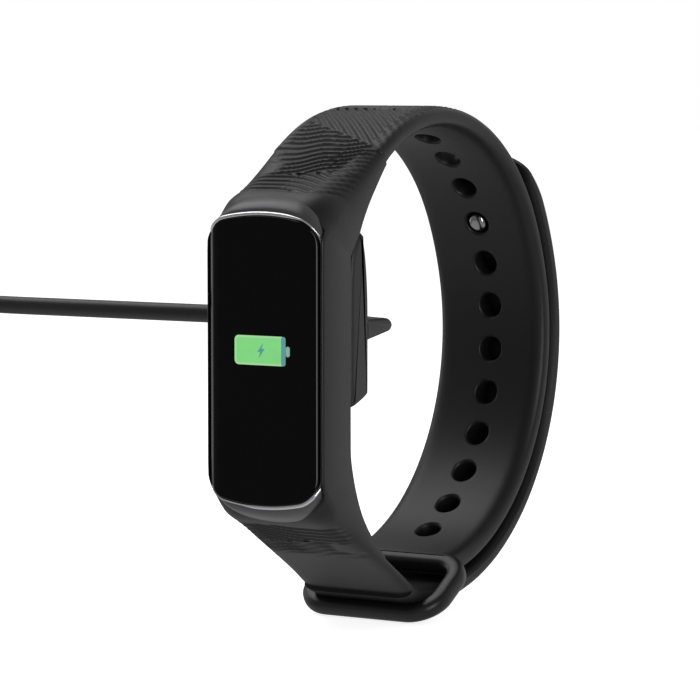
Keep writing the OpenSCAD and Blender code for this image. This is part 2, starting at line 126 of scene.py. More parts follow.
def brushedFinish(name, colour, roughness, stretch, metallic=1.0):
    # rolled or drawn metal: a noise stretched along one axis gives fine lines in bump and roughness
    material, tree, shader, where = startMaterial(name, colour, roughness, metallic)
    turned = addNode(tree, "ShaderNodeMapping", {"Scale": stretch}, {"Vector": where})
    lines = addNode(tree, "ShaderNodeTexNoise", {"Scale": 1 / (0.25 * mm), "Detail": 3.0},
                    {"Vector": turned.outputs["Vector"]})
    spread = addNode(tree, "ShaderNodeMapRange", {"To Min": roughness - 0.06, "To Max": roughness + 0.1},
                     {"Value": lines.outputs["Fac"]})
    tree.links.new(spread.outputs["Result"], shader.inputs["Roughness"])
    bump = addNode(tree, "ShaderNodeBump", {"Strength": 0.3, "Distance": 0.01 * mm}, {"Height": lines.outputs["Fac"]})
    tree.links.new(bump.outputs["Normal"], shader.inputs["Normal"])
    return material


def addPiece(name, verts, faces, material, body, slot, smoothAngle=38.0):
    # a mesh from arrays in millimetres, smooth but for edges sharper than smoothAngle
    mesh = bpy.data.meshes.new(name)
    mesh.from_pydata((np.asarray(verts, float) * mm).tolist(), [], [list(f) for f in faces])
    mesh.validate()
    piece = bpy.data.objects.new(name, mesh)
    bpy.context.scene.collection.objects.link(piece)
    finishMesh(piece, smoothAngle)
    piece.data.materials.append(material)
    if body:
        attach(piece, body)
    return piece


def finishMesh(piece, smoothAngle):
    # doubles merged, normals outward, smooth shading with sharp edges marked by angle
    shape = bmesh.new()
    shape.from_mesh(piece.data)
    bmesh.ops.remove_doubles(shape, verts=shape.verts, dist=1e-7)
    bmesh.ops.recalc_face_normals(shape, faces=shape.faces)
    limit = math.radians(smoothAngle)
    for face in shape.faces:
        face.smooth = True
    for edge in shape.edges:
        edge.smooth = len(edge.link_faces) != 2 or edge.calc_face_angle(0.0) < limit
    shape.to_mesh(piece.data)
    shape.free()


def gridFaces(rows, cols, closeRows=False, closeCols=True):
    # quads of a rows by cols grid of points, wrapped round where it is closed
    i = np.arange(rows if closeRows else rows - 1)
    j = np.arange(cols if closeCols else cols - 1)
    a, b = np.meshgrid(i, j, indexing="ij")
    a, b = a.ravel(), b.ravel()
    a2, b2 = (a + 1) % rows, (b + 1) % cols
    return np.stack([a * cols + b, a * cols + b2, a2 * cols + b2, a2 * cols + b], axis=1)


def closedTube(rings):
    # rings: array (rows, cols, 3); side quads plus a many-sided face at each end
    rows, cols = rings.shape[:2]
    faces = gridFaces(rows, cols).tolist()
    faces.append(list(range(cols))[::-1])
    faces.append([(rows - 1) * cols + k for k in range(cols)])
    return rings.reshape(-1, 3), faces


def smoothStep(x, low, high):
    # 3 t^2 - 2 t^3 with t from 0 at low to 1 at high
    t = np.clip((x - low) / (high - low), 0, 1)
    return t * t * (3 - 2 * t)


def cutWith(piece, cutters, smoothAngle=38.0):
    # takes the cutters out of the piece, then removes them
    for cutter in cutters:
        modifier = piece.modifiers.new("cut", "BOOLEAN")
        modifier.operation = "DIFFERENCE"
        modifier.solver = "EXACT"
        modifier.object = cutter
    view = bpy.context.evaluated_depsgraph_get()
    result = bpy.data.meshes.new_from_object(piece.evaluated_get(view))
    piece.modifiers.clear()
    old = piece.data
    piece.data = result
    bpy.data.meshes.remove(old)
    for cutter in cutters:
        bpy.data.objects.remove(cutter)
    finishMesh(piece, smoothAngle)


def scratchSolid(name, verts, faces):
    # a closed mesh in millimetres, normals outward, used only to cut with
    mesh = bpy.data.meshes.new(name)
    mesh.from_pydata((np.asarray(verts, float) * mm).tolist(), [], [list(f) for f in faces])
    solid = bpy.data.objects.new(name, mesh)
    bpy.context.scene.collection.objects.link(solid)
    shape = bmesh.new()
    shape.from_mesh(mesh)
    bmesh.ops.recalc_face_normals(shape, faces=shape.faces)
    shape.to_mesh(mesh)
    shape.free()
    return solid


# silicone rubber, moulded: soft matt black, a weak broad sheen and a very fine eroded-mould grain
siliconeBlack = grainFinish("siliconeRubberMoulded", "#131314", "#0f0f10", 0.44, 0.25, 0.010, extras={"IOR": 1.42})
# the same rubber on the keeper, from its own mould, a touch glossier from rubbing
keeperSilicone = grainFinish("siliconeRubberKeeper", "#131314", "#0f0f10", 0.36, 0.25, 0.008, extras={"IOR": 1.42})
# PMMA hard-coated lens, printed black behind: a mirror-smooth black with weak reflections
lensBlack = grainFinish("hardCoatedLens", "#030304", "#020203", 0.07, 1.5, 0.001,
                        extras={"Specular IOR Level": 0.15}, roughSpread=0.02)
# ABS frame with a graphite satin coat: dark grey with a soft metallic lift
graphiteCoat = grainFinish("graphiteSatinCoat", "#4a4a4c", "#434345", 0.36, 0.12, 0.004, metallic=0.5)
# thin plated trim round the lens: bright, slightly brushed
trimMetal = brushedFinish("platedTrimRing", "#e2e2e4", 0.18, (1, 1, 6))
# nickel-plated stud, turned and polished
studMetal = grainFinish("nickelPlatedStud", "#a4a4a7", "#98989b", 0.20, 0.6, 0.002, metallic=1.0, roughSpread=0.04)
# PC/ABS shells: matt black, spark-eroded grain of about 0.2 mm
cradlePlastic = grainFinish("sparkErodedPlastic", "#151516", "#111112", 0.48, 0.20, 0.012)
casePlastic = grainFinish("podCasePlastic", "#242426", "#1e1e20", 0.48, 0.20, 0.012)
# TPE cable jacket: matt black, faint drag lines from the extruder
jacketRubber = grainFinish("extrudedCableJacket", "#161617", "#121213", 0.42, 0.35, 0.008)


viewSettings = {"place": (0.23795, frontY * mm - 0.36404, podZ * mm + 0.03593), "pitch": 4.533, "yaw": 31.637,
                "lens": 173.8, "sensor": 36.0}
camera = bpy.data.cameras.new("viewCamera")
camera.lens = viewSettings["lens"]
camera.sensor_width = viewSettings["sensor"]
camera.clip_start = 0.01
cameraObject = bpy.data.objects.new("viewCamera", camera)
cameraObject.location = viewSettings["place"]
cameraObject.rotation_euler = (math.radians(90 - viewSettings["pitch"]), 0, math.radians(viewSettings["yaw"]))
bpy.context.scene.collection.objects.link(cameraObject)
bpy.context.scene.camera = cameraObject

room = {"seen": 1.0, "dim": 0.24, "side": 0.66, "under": 0.25, "sideAt": (0.40, 0.90, 0.14)}
world = bpy.data.worlds.new("paleRoom")
world.use_nodes = True
worldTree = world.node_tree
worldTree.nodes.clear()
# the room gives a dim grey light, brighter towards one side, and stands white behind the object
facing = addNode(worldTree, "ShaderNodeTexCoord")
towards = addNode(worldTree, "ShaderNodeVectorMath", {"operation": "DOT_PRODUCT"}, {})
worldTree.links.new(facing.outputs["Generated"], towards.inputs[0])
towards.inputs[1].default_value = room["sideAt"]
glow = addNode(worldTree, "ShaderNodeMapRange", {"interpolation_type": "SMOOTHSTEP", "From Min": 0.25, "From Max": 0.95,
                                                 "To Min": room["dim"], "To Max": room["side"]},
               {"Value": towards.outputs["Value"]})
below = addNode(worldTree, "ShaderNodeSeparateXYZ", {}, {"Vector": facing.outputs["Generated"]})
lift = addNode(worldTree, "ShaderNodeMapRange", {"interpolation_type": "SMOOTHSTEP", "From Min": -0.18, "From Max": -0.65,
                                                 "To Min": 0.0, "To Max": room["under"]},
               {"Value": below.outputs["Z"]})
total = addNode(worldTree, "ShaderNodeMath", {"operation": "ADD"}, {})
worldTree.links.new(glow.outputs["Result"], total.inputs[0])
worldTree.links.new(lift.outputs["Result"], total.inputs[1])
roomLight = addNode(worldTree, "ShaderNodeBackground", {}, {"Strength": total.outputs["Value"]})
roomSeen = addNode(worldTree, "ShaderNodeBackground", {"Strength": room["seen"]})
ray = addNode(worldTree, "ShaderNodeLightPath")
roomMix = addNode(worldTree, "ShaderNodeMixShader", {}, {"Fac": ray.outputs["Is Camera Ray"]})
worldTree.links.new(roomLight.outputs[0], roomMix.inputs[1])
worldTree.links.new(roomSeen.outputs[0], roomMix.inputs[2])
addNode(worldTree, "ShaderNodeOutputWorld", {}, {"Surface": roomMix.outputs[0]})
for background in (roomLight, roomSeen):
    background.inputs["Color"].default_value = (1.0, 1.0, 1.0, 1.0)
bpy.context.scene.world = world


def addSoftbox(name, place, target, size, power):
    # a rectangular lamp at place, turned so that it shines at target: yaw from x and y, tilt from the drop in z
    light = bpy.data.lights.new(name, "AREA")
    light.shape = "RECTANGLE"
    light.size, light.size_y = size
    light.energy = power
    lamp = bpy.data.objects.new(name, light)
    lamp.location = place
    direction = np.array(target, float) - np.array(place, float)
    yaw = math.atan2(direction[0], -direction[1])
    tilt = math.atan2(math.hypot(direction[0], direction[1]), -direction[2])
    lamp.rotation_euler = (tilt, 0, yaw + math.pi)
    bpy.context.scene.collection.objects.link(lamp)
    return lamp


addSoftbox("topSoftbox", (-0.30, 0.06, 0.52), (0, 0, 0.04), (0.42, 0.42), 1.1)
addSoftbox("rightStrip", (0.50, -0.34, 0.12), (0, 0, 0.04), (0.13, 0.45), 1.3)
addSoftbox("leftStrip", (-0.60, 0.04, 0.14), (0, 0, 0.04), (0.28, 0.50), 0.45)

floorLook = startMaterial("paleFloorCard", "#f4f4f4", 0.75, 0.0,
                          {"Emission Color": (1.0, 1.0, 1.0, 1.0), "Emission Strength": 0.80})
floorMaterial, floorTree, floorShader, floorWhere = floorLook
floorCloud = addNode(floorTree, "ShaderNodeTexNoise", {"Scale": 6.0}, {"Vector": floorWhere})
floorTint = addNode(floorTree, "ShaderNodeMix", {"data_type": "RGBA"}, {"Factor": floorCloud.outputs["Fac"]})
floorTint.inputs[6].default_value = toLinear("#f2f2f2")
floorTint.inputs[7].default_value = toLinear("#f6f6f6")
floorTree.links.new(floorTint.outputs[2], floorShader.inputs["Base Color"])
floorMesh = bpy.data.meshes.new("paleFloor")
floorMesh.from_pydata([(-4, -4, 0), (4, -4, 0), (4, 4, 0), (-4, 4, 0)], [], [(0, 1, 2, 3)])
floorObject = bpy.data.objects.new("paleFloor", floorMesh)
floorMesh.materials.append(floorMaterial)
bpy.context.scene.collection.objects.link(floorObject)
floorObject.visible_glossy = False  # the white card lights the object without standing in its gloss
print("camera, lights and floor made")


cable = {"thickness": 2.5, "y": frontY + 16.9, "z": 41.8, "coilX": -102.0, "coilMean": 14.0, "pitch": 2.7,
         "turns": 4.25, "perTurn": 16, "plugZ": 9.05}
cableRoute = [(-15.5, 41.8), (-19, 41.8), (-23, 41.8), (-30, 41.8), (-37, 41.8), (-44, 41.8), (-51, 41.8), (-58, 41.8),
              (-65, 41.5), (-69.5, 40), (-73, 37.2), (-75.5, 33.2), (-77, 28.4), (-78, 23), (-79.2, 17.5), (-81, 12.2),
              (-84, 7.4), (-88.2, 3.7), (-92.8, 1.7), (-97, 1.25)]


def coilPoints(c):
    # a spiral seen from above: angle falls from 270 degrees, radius steps between two columns, height between two rows
    outer, inner = c["coilMean"] + c["pitch"] / 2, c["coilMean"] - c["pitch"] / 2
    low, high = c["thickness"] / 2, c["thickness"] / 2 + c["pitch"]
    turn = np.linspace(0, c["turns"], int(c["turns"] * c["perTurn"]) + 1)
    radius = outer - (outer - inner) * smoothStep(turn, 0.72, 0.98) + (outer - inner) * smoothStep(turn, 3.0, 3.3)
    height = low + (high - low) * smoothStep(turn, 1.70, 2.0)
    angle = np.radians(270 - 360 * turn)
    centreY = c["y"] + outer
    return np.stack([c["coilX"] + radius * np.cos(angle), centreY + radius * np.sin(angle), height], axis=1)


coil = coilPoints(cable)
coilCentreY = cable["y"] + cable["coilMean"] + cable["pitch"] / 2
leadX = cable["coilX"] - cable["coilMean"] - cable["pitch"] / 2
# from the coil the lead runs along it, turns back in a half circle and rises to the plug, which lies on the coil
loopRadius = 4 * cable["thickness"]
plugX, plugY = leadX + 2 * loopRadius, coilCentreY + 16
loopY = plugY + 5.5
halfTurn = np.radians(np.arange(0, 181, 30))
loopHeight = np.array([1.8, 1.45, 1.3, 1.55, 2.5, 4.2, 6.2])
loopPoints = np.stack([leadX + loopRadius * (1 - np.cos(halfTurn)), loopY + loopRadius * np.sin(halfTurn),
                       loopHeight], axis=1)
leadPoints = [(leadX, coilCentreY + 5, 3.65), (leadX, coilCentreY + 10, 3.25), (leadX, coilCentreY + 16, 2.4)]
leadPoints += loopPoints.tolist()
leadPoints += [(plugX, loopY - 1.8, 7.6), (plugX, loopY - 3.5, 8.75), (plugX, plugY - 1.0, cable["plugZ"])]
cablePoints = np.array([(x, cable["y"], z) for x, z in cableRoute] + coil.tolist() + leadPoints)
cableCurve = bpy.data.curves.new("chargingLead", "CURVE")
cableCurve.dimensions = "3D"
spline = cableCurve.splines.new("BEZIER")
spline.bezier_points.add(len(cablePoints) - 1)
for point, place in zip(spline.bezier_points, cablePoints * mm):
    point.co = place
    point.handle_left_type = point.handle_right_type = "AUTO"
spline.resolution_u = 5
cableCurve.bevel_depth = cable["thickness"] / 2 * mm
cableCurve.bevel_resolution = 5
cableCurve.use_fill_caps = True
cableObject = bpy.data.objects.new("chargingLead", cableCurve)
cableCurve.materials.append(jacketRubber)
bpy.context.scene.collection.objects.link(cableObject)
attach(cableObject, "charger")
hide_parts("charging_cable", "cable_coil")


strap = {"width": 17.2, "carrierWidth": 18.0, "armThick": 2.9, "tailThick": 2.5,
         "start": (frontY + 10.2, 53.5, 61.0), "arm": [(26.5, -123), (37.0, -14), (29.5, -96)],
         "tip": (20.3955, 62.5932, -43.0), "outer": [(30.0, -19), (40.5, -14), (33.0, -106), (12.0, -27)],
         "holeRadius": 1.7, "holeFlare": 0.28, "firstHole": 38.0, "holePitch": 6.3, "holes": 12,
         "groovePitch": 1.20, "grooveDepth": 0.30, "grooveStep": 0.17, "tipRound": 4.0}


def alongArcs(start, arcs, s):
    # point and heading at distance s:
    # each arc of curvature k adds (sin(h + k t) - sin h) / k and -(cos(h + k t) - cos h) / k
    s = np.asarray(s, float)
    y, z = np.full_like(s, start[0]), np.full_like(s, start[1])
    heading = math.radians(start[2])
    turned = np.full_like(s, heading)
    done = 0.0
    for radius, turn in arcs:
        k = math.copysign(1 / radius, turn)
        length = radius * abs(math.radians(turn))
        t = np.clip(s - done, 0, length)
        y += (np.sin(heading + k * t) - math.sin(heading)) / k
        z -= (np.cos(heading + k * t) - math.cos(heading)) / k
        turned += k * t
        heading += k * length
        done += length
    return y, z, turned


def besidePath(start, arcs, s, distance):
    # the path moved to its left by distance
    y, z, heading = alongArcs(start, arcs, s)
    return np.stack([y - np.sin(heading) * distance, z + np.cos(heading) * distance], axis=1)


def arcLength(arcs):
    # sum of radius times turn in radians
    return sum(radius * abs(math.radians(turn)) for radius, turn in arcs)


def resample(points, count):
    # count points evenly spaced along a polyline
    d = np.concatenate([[0], np.cumsum(np.linalg.norm(np.diff(points, axis=0), axis=1))])
    at = np.linspace(0, d[-1], count)
    return np.stack([np.interp(at, d, points[:, k]) for k in range(points.shape[1])], axis=1)


def roundedPath(points, times):
    # corners cut a quarter of the way from each end, times over
    for _ in range(times):
        a, b = points[:-1], points[1:]
        cut = np.stack([a * 0.75 + b * 0.25, a * 0.25 + b * 0.75], axis=1).reshape(-1, 2)
        points = np.concatenate([points[:1], cut, points[-1:]])
    return points


def sectionColumns(outerCols, innerCols, cornerCols):
    # columns of the rounded cross-section: x = side * (W a - b rx), t = T c + e rt, going round from the outer face
    face = np.linspace(-1, 1, outerCols)
    back = np.linspace(1, -1, innerCols)
    quarter = np.linspace(0, math.pi / 2, cornerCols + 1)[1:]
    cols = [(f, 0.0, 1, 0.0, 1) for f in face]
    cols += [(1, math.sin(q), 1, math.cos(q) - 1, 1) for q in quarter]
    cols += [(1, math.cos(q), 0, 1 - math.sin(q), 0) for q in quarter[:-1]]
    cols += [(f, 0.0, 0, 0.0, 0) for f in back]
    cols += [(-1, math.sin(q), 0, 1 - math.cos(q), 0) for q in quarter]
    cols += [(-1, math.cos(q), 1, -(1 - math.sin(q)), 1) for q in quarter[:-1]]
    return np.array(cols)


def ribbonRings(outer, inner, halfWidth, cornerX, cornerT, cols, lift=None, backX=None, backT=None):
    # ring k at a station: X = a (W - rx) + sign(a) s rx;
    # height t = c T + e rt from the inner line towards the outer one
    a, s, c, e = (cols[:, k][None, :] for k in range(4))
    across = outer - inner
    thick = np.linalg.norm(across, axis=1)
    unit = across / thick[:, None]
    backX, backT = (cornerX if backX is None else backX), (cornerT if backT is None else backT)
    w = halfWidth[:, None]
    rx = cornerX[:, None] * c + backX[:, None] * (1 - c)
    rt = np.minimum(cornerT, thick * 0.46)[:, None] * c + np.minimum(backT, thick * 0.46)[:, None] * (1 - c)
    x = a * (w - rx) + np.sign(a) * s * rx
    t = c * thick[:, None] + e * rt
    if lift is not None:
        t = t + lift(x) * (c > 0.5)
    y = inner[:, 0][:, None] + unit[:, 0][:, None] * t
    z = inner[:, 1][:, None] + unit[:, 1][:, None] * t
    return np.stack([x, y, z], axis=2)


def grooveLift(p, x, settings, seed=0.0):
    # depth of the pressed lines: -depth |cos(pi f / pitch)|^1.6; f is a fan round the collar, then waves rising to the
    # right that level out, then steep lines falling to the right; each family fades where it meets the next
    period = 27.0
    q = np.mod(p + seed, period)
    fan = p + 0.050 * np.clip(x + 2.0, 0, None) ** 2
    rising = q - x * (0.40 - 0.30 * smoothStep(q, 7.0, 15.0)) + 0.25 * np.sin(x * 0.9 + q * 0.4)
    falling = q * 0.72 + 0.80 * x
    lineA = 6.2 + 0.10 * x
    lineB = 17.0 - 0.50 * x
    f = np.where(q < lineA, fan, np.where(q < lineB, rising, falling))
    gap = np.minimum(np.abs(q - lineA) + 0.15, np.abs(q - lineB))
    gap = np.minimum(gap, np.minimum(q, period - q) + 0.3)
    ridge = np.abs(np.cos(np.pi * f / settings["groovePitch"])) ** 1.6
    plain = smoothStep(-x, 3.4, 5.0) * smoothStep(q, lineA, lineA + 0.6) * (1 - smoothStep(q, 8.6, 9.6))
    fade = smoothStep(8.0 - np.abs(x), 0.0, 0.8) * smoothStep(gap, 0.0, 0.3) * (1 - plain)
    return -settings["grooveDepth"] * ridge * fade


armTotal = arcLength(strap["arm"])
crownSplit = 26.5 * math.radians(30)  # where the outer face leaves the arc for the straight shoulder
texturedEnd = 52.0
sCoarse = np.arange(armTotal, texturedEnd, -0.9)
sFine = np.arange(texturedEnd, crownSplit, -strap["grooveStep"] * 26.5 / 29.4)
sArm = np.concatenate([sCoarse, sFine])
armInner = besidePath(strap["start"], strap["arm"], sArm, 0.0)
armOuter = besidePath(strap["start"], strap["arm"], sArm, strap["armThick"])
# top shoulder: the outer face runs straight down to the pod's collar, the inner face keeps its arc
shoulderOuter = np.array([armOuter[-1], (frontY + 9.5, podZ + 23.6), (frontY + 5.3, podZ + 21.95),
                          (frontY + 3.1, podZ + 20.9), (frontY + 1.75, podZ + 19.2), (frontY + 1.15, podZ + 17.6),
                          (frontY + 1.0, podZ + 15.5)])
shoulderLine = roundedPath(shoulderOuter, 3)
shoulderLength = float(np.linalg.norm(np.diff(shoulderLine, axis=0), axis=1).sum())
shoulderCount = int(shoulderLength / strap["grooveStep"])
shoulderOut = resample(shoulderLine, shoulderCount)[1:]
rootS = np.linspace(crownSplit, 0, 60)
innerRoot = besidePath(strap["start"], strap["arm"], rootS, 0.0)
innerRoot[:, 0] += 0.6 * (1 - smoothStep(rootS, 7.0, crownSplit))
wallY = rearY - 1.0  # the carrier's wrist side; the case stands proud of it
innerRoot = np.concatenate([innerRoot, [(wallY, podZ + 13.2), (wallY, podZ + 11.0)]])
shoulderIn = resample(innerRoot, shoulderCount)[1:]
# the carrier's side walls
wallCount = 24
wallOut = np.stack([np.full(wallCount, frontY + 1.0), np.linspace(podZ + 15.5, podZ - 15.5, wallCount)], axis=1)[1:]
wallIn = np.stack([np.full(wallCount, wallY), np.linspace(podZ + 11.0, podZ - 11.5, wallCount)], axis=1)[1:]
# foot: down from the pod to the arm that passes through the keeper
outerTotal = arcLength(strap["outer"])
passInner = besidePath(strap["tip"], strap["outer"], [outerTotal], 0.0)[0]
passOuter = besidePath(strap["tip"], strap["outer"], [outerTotal], strap["tailThick"] - 0.5)[0]
footOuter = np.array([(frontY + 1.0, podZ - 15.5), (frontY + 1.15, podZ - 17.6), (frontY + 1.75, podZ - 19.2),
                      (frontY + 3.1, podZ - 20.9), (frontY + 5.3, podZ - 22.1), (frontY + 9.8, podZ - 24.5),
                      (frontY + 19.0, podZ - 29.5), passOuter])
footLine = roundedPath(footOuter, 3)
footLength = float(np.linalg.norm(np.diff(footLine, axis=0), axis=1).sum())
footCount = int(footLength / strap["grooveStep"])
footOut = resample(footLine, footCount)[1:]
footInner = [(wallY, -11.5), (wallY + 0.05, -12.6), (wallY + 0.45, -14.1), (wallY + 1.0, -15.7), (wallY + 1.7, -17.4),
             (wallY + 2.5, -19.1), (wallY + 3.5, -20.8), (wallY + 4.8, -22.5), (wallY + 6.6, -24.3), (wallY + 10.4, -27.3)]
innerFoot = roundedPath(np.array([(y, podZ + z) for y, z in footInner] + [tuple(passInner)]), 2)
footIn = resample(innerFoot, footCount)[1:]

bandOuter = np.concatenate([armOuter, shoulderOut, wallOut, footOut])
bandInner = np.concatenate([armInner, shoulderIn, wallIn, footIn])
armRows, shoulderRows, wallRows = len(armOuter), len(shoulderOut), len(wallOut)
# how much each station belongs to the pod's carrier, 0 on the arms and 1 beside the pod
heightFromPod = np.abs(bandOuter[:, 1] - podZ)
forward = bandOuter[:, 0] < frontY + 16
nearPod = (1 - smoothStep(heightFromPod, 15.5, 27.0)) * forward
halfWidth = strap["width"] / 2 + (strap["carrierWidth"] - strap["width"]) / 2 * nearPod
# the rim beside the pod is nearly square, the shoulder past its corners is softly rounded, the arms less so
squareRim = (1 - smoothStep(heightFromPod, 14.5, 19.5)) * forward
softShoulder = smoothStep(heightFromPod, 15.5, 20.0) * (1 - smoothStep(heightFromPod, 22.5, 29.0)) * forward
softShoulder *= np.where(bandOuter[:, 1] > podZ, 1.0, 0.5)
nearFoot = (1 - smoothStep(heightFromPod, 24.0, 32.0)) * forward
backX = 2.3 - 1.7 * nearFoot
backT = 1.15 - 0.55 * nearFoot
cornerX = 2.3 + (0.35 - 2.3) * squareRim + 1.9 * softShoulder
cornerT = 1.15 + (0.5 - 1.15) * squareRim + 2.3 * softShoulder
# distance up the outer face from the top collar, and down it from the bottom collar
run = np.concatenate([[0], np.cumsum(np.linalg.norm(np.diff(bandOuter, axis=0), axis=1))])
collarDepth = frontY + 4.6
collarTop = run[armRows + int(np.argmin(np.abs(shoulderOut[:, 0] - collarDepth)))]
collarBottom = run[armRows + shoulderRows + wallRows + int(np.argmin(np.abs(footOut[:, 0] - collarDepth)))]
columns = sectionColumns(96, 22, 6)


def bandLift(x):
    # lines on the shoulder and crown, and on the foot, faded in from each collar
    up = (collarTop - run)[:, None] * np.ones_like(x)
    down = (run - collarBottom)[:, None] * np.ones_like(x)
    top = grooveLift(up, x, strap) * smoothStep(up, 0.2, 0.9) * (1 - smoothStep(up, 60.0, 63.0))
    foot = grooveLift(down, -x, strap) * smoothStep(down, 0.2, 0.9) * (1 - smoothStep(down, 9.5, 11.5))
    return np.where(up > 0, top, np.where(down > 0, foot, 0.0))


bandRings = ribbonRings(bandOuter, bandInner, halfWidth, cornerX, cornerT, columns, bandLift, backX, backT)
bandVerts, bandFaces = closedTube(bandRings)
bandStrap = addPiece("bandStrap", bandVerts, bandFaces, siliconeBlack, None, "strap_silicone")
print("strap body:", len(bandFaces), "faces")


def podOutline(width, height, corner, big, perCorner=9, perEnd=13, perSide=15):
    # round corners of radius corner, crowned ends of radius big, straight sides; points go round from the right side
    centre = height / 2 - big
    up = centre + math.sqrt((big - corner) ** 2 - (width / 2 - corner) ** 2)
    turn = math.atan2(up - centre, width / 2 - corner)
    a = np.linspace(0, turn, perCorner)
    right = np.stack([width / 2 - corner + corner * np.cos(a), up + corner * np.sin(a)], axis=1)
    b = np.linspace(turn, math.pi - turn, perEnd)[1:-1]
    end = np.stack([big * np.cos(b), centre + big * np.sin(b)], axis=1)
    left = right[::-1] * [-1, 1]
    half = np.concatenate([right, end, left])
    side = np.linspace(up, -up, perSide)[1:-1]
    leftSide = np.stack([np.full(len(side), -width / 2), side], axis=1)
    rightSide = np.stack([np.full(len(side), width / 2), -side], axis=1)
    return np.concatenate([half, leftSide, -half, rightSide])


def prismRings(outlines, depths):
    # each outline (x, z) set at its depth behind the glass's front
    rings = [np.stack([o[:, 0], np.full(len(o), frontY + d), podZ + o[:, 1]], axis=1) for o, d in zip(outlines, depths)]
    return np.array(rings)


def lathe(profile, place, along, count=32):
    # profile rows (distance along the axis, radius) turned about the axis through place
    along = np.array(along, float) / np.linalg.norm(along)
    side = np.array([1.0, 0, 0]) if abs(along[0]) < 0.9 else np.array([0, 0, 1.0])
    u = np.cross(along, side)
    u /= np.linalg.norm(u)
    v = np.cross(along, u)
    t = np.linspace(0, 2 * math.pi, count, endpoint=False)
    circle = np.cos(t)[:, None] * u + np.sin(t)[:, None] * v
    p = np.asarray(profile, float)
    return np.array(place)[None, None, :] + p[:, 0][:, None, None] * along + p[:, 1][:, None, None] * circle[None, :, :]


cutters = []
socket = podOutline(17.5, 43.4, 5.2, 30.0)
cutters.append(scratchSolid("socketCut", *closedTube(prismRings([socket, socket], [-3.0, 2.05]))))
caseHole = podOutline(15.8, 36.8, 4.1, 28.0)
cutters.append(scratchSolid("caseCut", *closedTube(prismRings([caseHole, caseHole], [-2.0, 12.0]))))
holeS = strap["firstHole"] + strap["holePitch"] * np.arange(strap["holes"])
holeY, holeZ, holeHeading = alongArcs(strap["start"], strap["arm"], holeS)
flare = strap["holeFlare"]
for k in range(strap["holes"]):
    outward = (0, -math.sin(holeHeading[k]), math.cos(holeHeading[k]))
    r = strap["holeRadius"]
    profile = [(-1.2, r + 1.2 + flare * 0.3), (-0.02, r + flare), (0.10, r + 0.10), (0.32, r), (2.6, r), (2.82, r + 0.10),
               (2.95, r + flare), (4.2, r + 1.4)]
    cutters.append(scratchSolid("holeCut" + str(k), *closedTube(lathe(profile, (0, holeY[k], holeZ[k]), outward, 40))))
cutWith(bandStrap, cutters, 40.0)
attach(bandStrap, "band")
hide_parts("wrist_strap")
print("strap cut:", len(bandStrap.data.polygons), "faces")

# the outer layer, from the pass through the keeper round the heel to its tip
tailS = np.concatenate([np.arange(0, 0.9, 0.09), np.arange(0.9, 62.0, strap["grooveStep"]),
                        np.linspace(62.0, outerTotal, 40)])
tailInner = besidePath(strap["tip"], strap["outer"], tailS, 0.0)
tailOuter = besidePath(strap["tip"], strap["outer"], tailS, strap["tailThick"])
edge = np.clip(tailS / 0.9, 0, 1)
shrink = (1 - np.sqrt(np.clip(1 - (1 - edge) ** 2, 0.02, 1)))[:, None] * 0.32
middle = (tailInner + tailOuter) / 2
tailInner, tailOuter = tailInner + (middle - tailInner) * shrink, tailOuter + (middle - tailOuter) * shrink
thinTip = (0.62 * (1 - smoothStep(tailS, 0.0, 9.0)))[:, None]
tailOuter = tailOuter + (tailInner - tailOuter) * thinTip
tipRound = strap["tipRound"]
back = np.clip(tipRound - tailS, 0, tipRound)
tailHalf = strap["width"] / 2 - (tipRound - np.sqrt(np.clip(tipRound ** 2 - back ** 2, 0, None)))
tailHalf = np.maximum(tailHalf, 4.6)
tailCornerX = np.full(len(tailS), 2.3)
tailCornerT = np.full(len(tailS), 1.1)


def tailLift(x):
    # the same lines on the outer layer, faded in from its tip and out before the keeper
    up = tailS[:, None] * np.ones_like(x)
    return grooveLift(up, x, strap, 5.0) * smoothStep(up, 5.0, 7.0) * (1 - smoothStep(up, 58.0, 61.0))


tailRings = ribbonRings(tailOuter, tailInner, tailHalf, tailCornerX, tailCornerT, sectionColumns(96, 20, 4), tailLift)
tailVerts, tailFaces = closedTube(tailRings)
bandTail = addPiece("bandTail", tailVerts, tailFaces, siliconeBlack, None, "strap_silicone")
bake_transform(bandTail)
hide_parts("strap_tail")
print("outer layer:", len(tailFaces), "faces")

# stud: a turned dome on a neck, in the fourth hole
studAt = 3
studOut = (0, -math.sin(holeHeading[studAt]), math.cos(holeHeading[studAt]))
studProfile = [(-0.42, 0.02), (-0.41, 0.35), (-0.35, 0.72), (-0.22, 1.02), (-0.02, 1.24), (0.25, 1.37), (0.5, 1.40),
               (0.78, 1.36), (1.0, 1.15), (1.15, 0.92), (1.4, 0.86), (3.45, 0.86), (3.5, 2.25), (4.45, 2.25), (4.5, 0.02)]
fastener = addPiece("fastenerStud", *closedTube(lathe(studProfile, (0, holeY[studAt], holeZ[studAt]), studOut, 48)),
                    studMetal, "tail", "stud_metal", 50.0)
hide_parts("fastening_stud")

# keeper: a rounded bar carried round a rounded rectangle
keeperLift = 2.2 / 2 * math.cos(math.radians(30)) + 2.4 / 2 * math.sin(math.radians(30))
keeper = {"tilt": 30.0, "front": (frontY + 26.3, keeperLift),
          "width": 23.0, "length": 12.4, "bar": 2.5, "side": 2.7, "back": 2.5, "thick": 2.4, "corner": 5.2}


